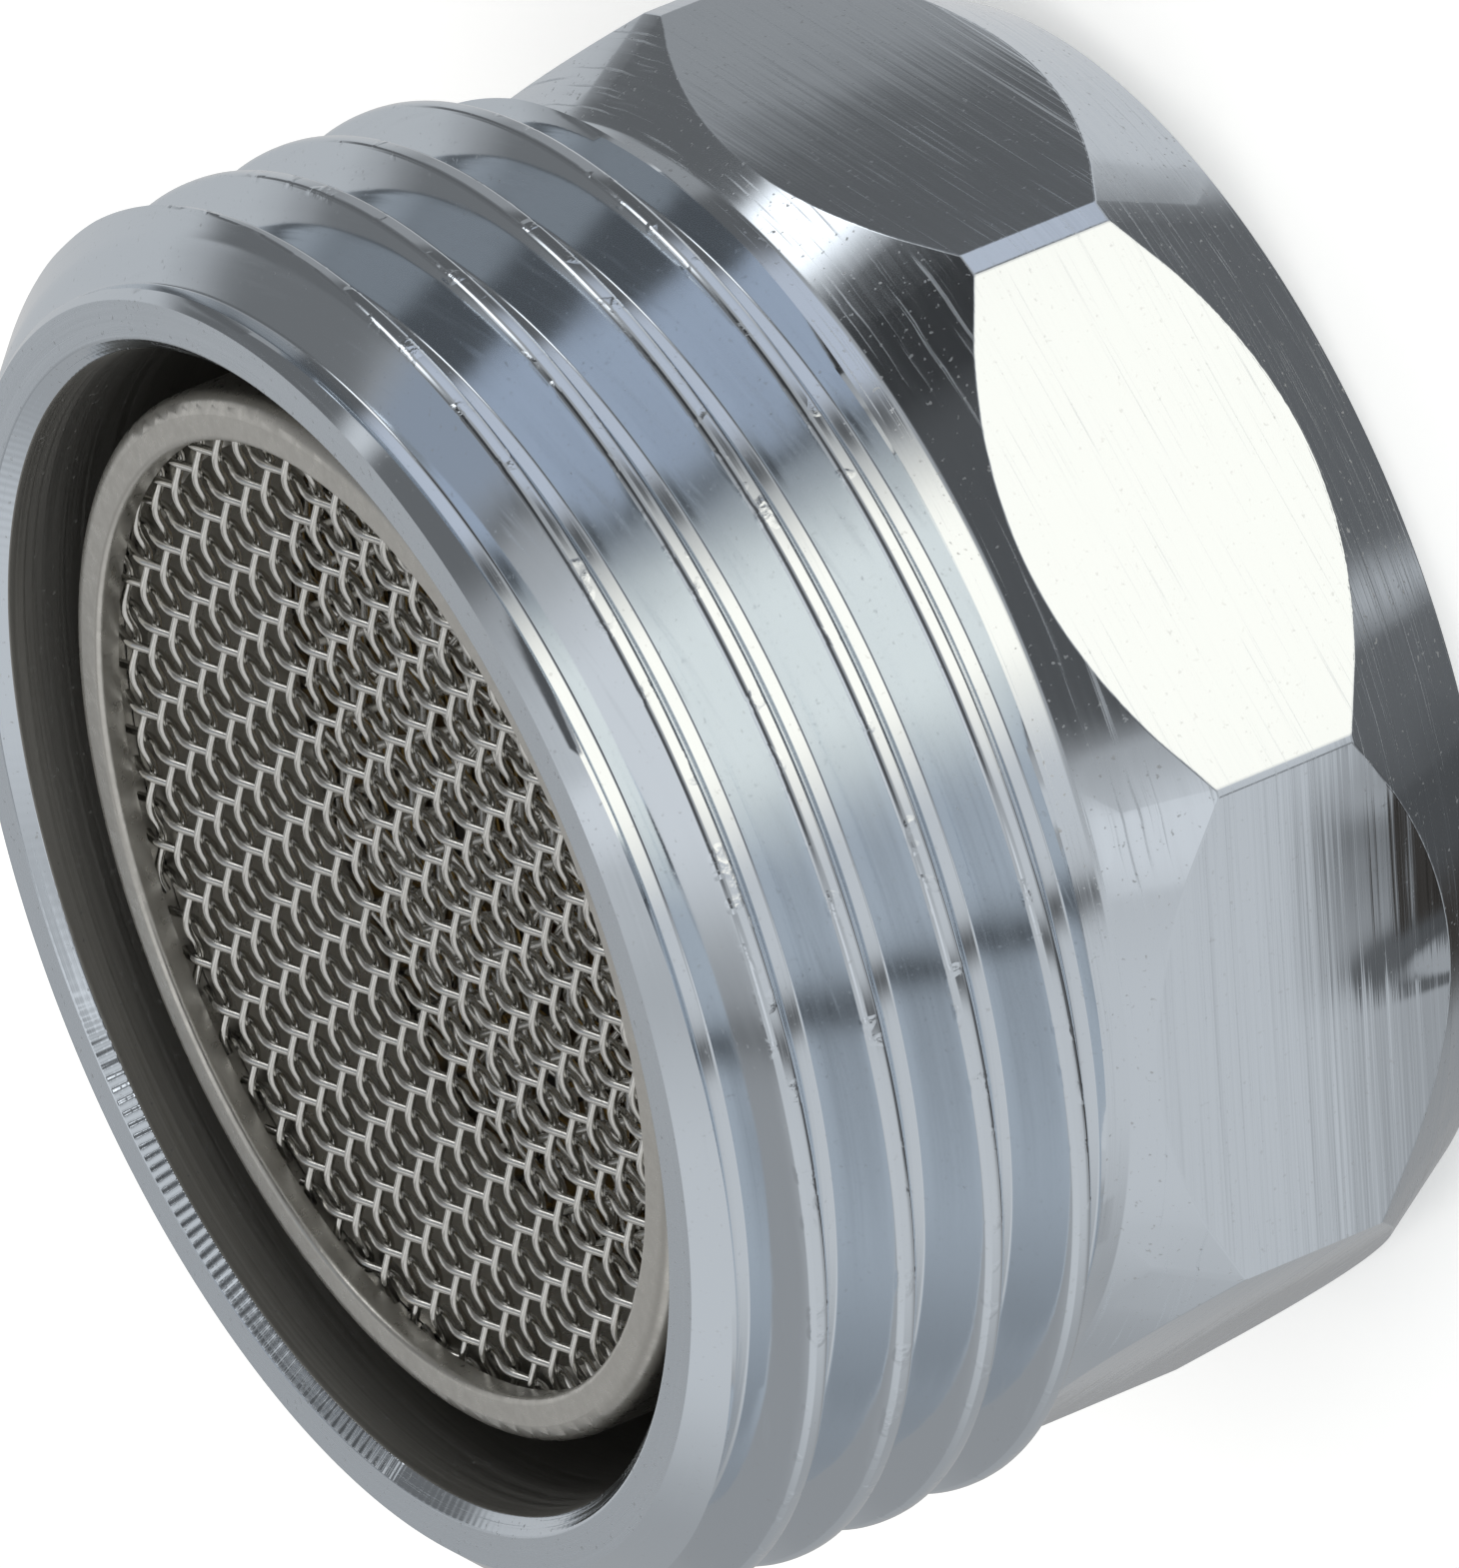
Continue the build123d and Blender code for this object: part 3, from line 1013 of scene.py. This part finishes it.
@dataclass
class Studio:
    """Table, light tent, lamp and camera.

    What the camera needs is in millimetres, the rest in metres, and angles are in degrees.
    """

    paper: str = "#f4f4f2"
    paper_roughness: float = 0.9
    paper_lift: float = 0.26
    table_size: float = 3.6
    tent_radius: float = 3.0
    tent_level: float = 0.42
    tent_step: float = 1.5
    room_level: float = 0.75
    lamp_size: float = 0.4
    lamp_power: float = 1.2
    lamp_place: Triple = (0.15, -0.3, 0.5)
    panels: Sequence[Panel] = (
        Panel("right wall", 48, 20, 60, 150, 0.60, 8, 10),
        Panel("upper left drape", -110, 66, 70, 20, 0.36, 12, 6),
        Panel("left scrim", -92, 37, 44, 40, 0.69, 26, 10),
        Panel("scrim edge", -69, 33, 8, 12, 0.84, 4, 6),
        Panel("left wall", -86, 8, 36, 30, 0.68, 24, 16),
        Panel("overhead scrim", -50, 63, 27, 36, 0.83, 14, 8),
        Panel("lamp", -51, 46, 6, 8, 0.85, 4, 4),
        Panel("sheet hem", -62, 0, 16, 22, 0.70, 6, 8),
        Panel("white sheet", -45, -4, 22, 36, 1.45, 12, 8, "#fff8ea"),
        Panel("left slit", -73, 0, 3, 24, 0.12, 3, 6),
        Panel("upper left slit", -74.5, 62, 4, 14, 0.17, 3.5, 5),
        Panel("right slit", -28.5, 0, 3.5, 9, 0.12, 2.5, 3),
        Panel("blue drape", -19, 62, 15, 20, 0.43, 5, 8, "#e4efff"),
        Panel("upper right slit", -28, 62, 2.5, 16, 0.15, 2.5, 5),
        Panel("pale sheet", -17, 0, 17, 24, 0.72, 3.5, 8, "#eff4ff"),
        Panel("blue sheet", -17, -10, 20, 10, 0.66, 3.5, 4, "#eff4ff"),
        Panel("thread slit", -28.3, -10, 1.2, 12, 0.12, 1.6, 4),
        Panel("right flag", 2, 30, 22, 80, 0.2, 7, 8),
        Panel("flag edge", 7, 0, 12, 36, 0.36, 2, 8),
        Panel("flag shade", -4, 0, 9.5, 36, 0.135, 2, 8),
        Panel("flag arm", 6, 33, 36, 14, 0.15, 5, 5),
        Panel("camera back", -38.5, 33, 44, 16, 0.105, 4, 5),
        Panel("lens", -24, 33, 12, 14, 0.05, 6, 5),
        Panel("dark stand", -6, 46, 48, 10, 0.17, 6, 4),
        Panel("window", -8.7, 32, 9, 13, 1.9, 4, 4),
        Panel("upper window", -11, 44, 4, 9, 0.75, 3, 3),
        Panel("back sheet", 4, -38, 50, 40, 0.68, 10, 8),
        Panel("table", -57, -40, 76, 34, 0.15, 7, 5),
        Panel("table gleam", -58, -31, 4, 9, 0.6, 4, 5),
        Panel("table shade", -79, -31, 14, 30, 0.09, 5, 6),
        Panel("table corner", -81, -18.5, 13, 13, 0.13, 6, 5),
        Panel("dark gap", -91, -31, 14, 16, 0.05, 5, 5, "#fff0e2"),
        Panel("left floor", -108, -31, 26, 30, 0.35, 8, 8),
    )
    aim: Triple = (-0.159, -0.073, 8.588)
    azimuth: float = -51.788
    elevation: float = 24.77
    roll: float = -112.232
    distance: float = 593.6
    lens: float = 829.84
    sensor: float = 36.0

    @staticmethod
    def heading(azimuth: float, elevation: float) -> Vector:
        """Unit vector to a place, from its angles round the axis and above the table in degrees."""
        east, up = radians(azimuth), radians(elevation)
        return Vector((cos(up) * cos(east), cos(up) * sin(east), sin(up)))

    def tent_light(self, way: Vector) -> Vector:
        """Light of the tent from one direction.

        Args:
            way: Unit vector away from the part.

        Returns:
            Red, green and blue, where one is white paper.
        """
        half = way + self.heading(self.azimuth, self.elevation)
        facing = degrees(atan2(half.y, half.x))
        tilt = degrees(atan2(half.z, hypot(half.x, half.y)))
        light = Vector((1, 1, 1)) * self.tent_level
        for panel in self.panels:
            glow = Vector(linear(panel.tint)[:3]) * panel.level
            light = light.lerp(glow, panel.cover(facing, tilt))
        return light

    def tent(self) -> None:
        """Hang the tent: a ball of scrims and flags that only mirrors see."""
        ball = bmesh.new()
        glow = ball.verts.layers.float_color.new("glow")
        around, over = round(360 / self.tent_step), round(180 / self.tent_step)
        rows = []
        for j in range(over + 1):
            ways = [self.heading(i * self.tent_step, j * self.tent_step - 90) for i in range(around)]
            rows.append([ball.verts.new(way * self.tent_radius) for way in ways])
            for vert, way in zip(rows[-1], ways):
                vert[glow] = (*self.tent_light(way), 1.0)
        for corners in quads(rows):
            ball.faces.new(corners[::-1])
        mesh = bpy.data.meshes.new("light_tent")
        ball.to_mesh(mesh)
        ball.free()
        skin = Skin("tent_cloth")
        colour = skin.add("ShaderNodeAttribute", attribute_name="glow").outputs["Color"]
        mesh.materials.append(skin.surface({"Color": colour}, "ShaderNodeEmission"))
        skin.material.cycles.emission_sampling = "NONE"
        tent = stand("light_tent", mesh)
        tent.visible_camera = tent.visible_diffuse = tent.visible_shadow = False

    def table(self) -> None:
        """Lay the white table, which keeps the part's shadow but not its mirror image."""
        half = self.table_size / 2
        corners = [(-half, -half, 0), (half, -half, 0), (half, half, 0), (-half, half, 0)]
        mesh = bpy.data.meshes.new("table")
        mesh.from_pydata(corners, [], [(0, 1, 2, 3)])
        skin = Skin("matt_white_paper")
        seen = skin.add("ShaderNodeLightPath").outputs["Is Camera Ray"]
        mesh.materials.append(skin.surface({
            "Base Color": linear(self.paper),
            "Roughness": self.paper_roughness,
            "Emission Color": WHITE,
            "Emission Strength": skin.math("MULTIPLY", seen, self.paper_lift),
        }))
        table = stand("table", mesh)
        table.visible_glossy = False

    def light(self) -> None:
        """Set the even light of the room and one soft lamp from above."""
        world = bpy.data.worlds.new("white_room")
        bpy.context.scene.world = world
        world.use_nodes = True
        back = world.node_tree.nodes["Background"]
        back.inputs["Color"].default_value = WHITE
        back.inputs["Strength"].default_value = self.room_level
        lamp = bpy.data.lights.new("soft_lamp", "AREA")
        lamp.size = self.lamp_size
        lamp.energy = self.lamp_power
        holder = stand("soft_lamp", lamp)
        spot = Vector(self.lamp_place)
        holder.matrix_world = Matrix.LocRotScale(spot, spot.to_track_quat("Z", "Y"), None)
        holder.visible_glossy = False

    def camera(self) -> None:
        """Stand the camera where the photograph was taken from, rolled as it was."""
        back = self.heading(self.azimuth, self.elevation)
        level = Vector((0, 0, 1)).cross(back).normalized()
        rise = back.cross(level)
        roll = radians(self.roll)
        right = level * cos(roll) + rise * sin(roll)
        turn = Matrix((right, back.cross(right), back)).transposed()
        data = bpy.data.cameras.new("camera")
        data.sensor_fit = "HORIZONTAL"
        data.sensor_width = self.sensor
        data.lens = self.lens
        camera = stand("camera", data)
        spot = (Vector(self.aim) + back * self.distance) * MM
        camera.matrix_world = Matrix.LocRotScale(spot, turn.to_quaternion(), None)
        bpy.context.scene.camera = camera

    def build(self) -> None:
        """Set up the whole studio."""
        self.tent()
        self.table()
        self.light()
        self.camera()
        bpy.context.scene.view_settings.view_transform = "Standard"


def main() -> None:
    """Build and dress every piece, then the studio, and note the sizes."""
    logging.basicConfig(level=logging.INFO, format="%(name)s %(message)s")
    finishes = {
        Zone.TURNED: TurnedChrome(
            "chrome_plate_on_turned_cone", line_slope=0.07, streak_slope=0.07, scratch_roughness=0.3,
        ),
        Zone.MILLED: TurnedChrome(
            "chrome_plate_on_milled_flat", climb=(0.0, -0.11, 1.0), climb_with_radius=0.0, crown_radius=55.0,
            streak_slope=0.08, line_slope=0.07, scratch_roughness=0.22, roll_height=5.2, speck_share=0.2,
        ),
        Zone.THREADED: TurnedChrome(
            "chrome_plate_on_cut_thread", roughness=0.07, roughness_spread=0.05, streak_slope=0.02,
            scratch_roughness=0.1, nicked_radius=Housing.thread_radius, speck_share=0.2,
        ),
        Zone.FACED: TurnedChrome(
            "chrome_plate_on_faced_end", roughness=0.2, streak_slope=0.015, scratch_roughness=0.1,
        ),
        Zone.CHATTERED: TurnedChrome("chrome_plate_on_chattered_chamfer", chatter_pitch=0.23),
        Zone.BORED: TurnedChrome(
            "dull_plate_in_bore", colour="#a2a19d", roughness=0.45, roughness_spread=0.15,
            scratch_roughness=0.0,
        ),
    }
    Housing().build({zone: finish.material() for zone, finish in finishes.items()})
    steel = GrainedFinish("drawn_satin_steel", "#dddbd5", "#c0beb8").material()
    brass = GrainedFinish("stamped_brass", "#c9ab6c", "#b08f52", 0.28).material()
    wire = GrainedFinish("woven_steel_wire", "#e6e5e1", "#cbcac5", 0.18, 0.1).material()
    rubber = GrainedFinish(
        "moulded_black_rubber", "#1d1d1e", "#343433", 0.75, 0.15, grain_slope=0.1, grain_detail=3.0,
        grain_roughness=0.5, brighter=0.0, duller=0.0, metallic=0.0,
    ).material()
    for node, turn in (("outlet_screen", 4.7), ("middle_screen", 34.0), ("upper_screen", 62.0)):
        WovenScreen(node, turn).build(wire)
    Insert({
        "insert_cup": steel, "spacer_ring": steel, "jet_disc": brass, "splitter_disc": brass,
        "center_rivet": brass, "inlet_washer": rubber,
    }).dress()
    Studio().build()


if __name__ == "__main__":
    main()
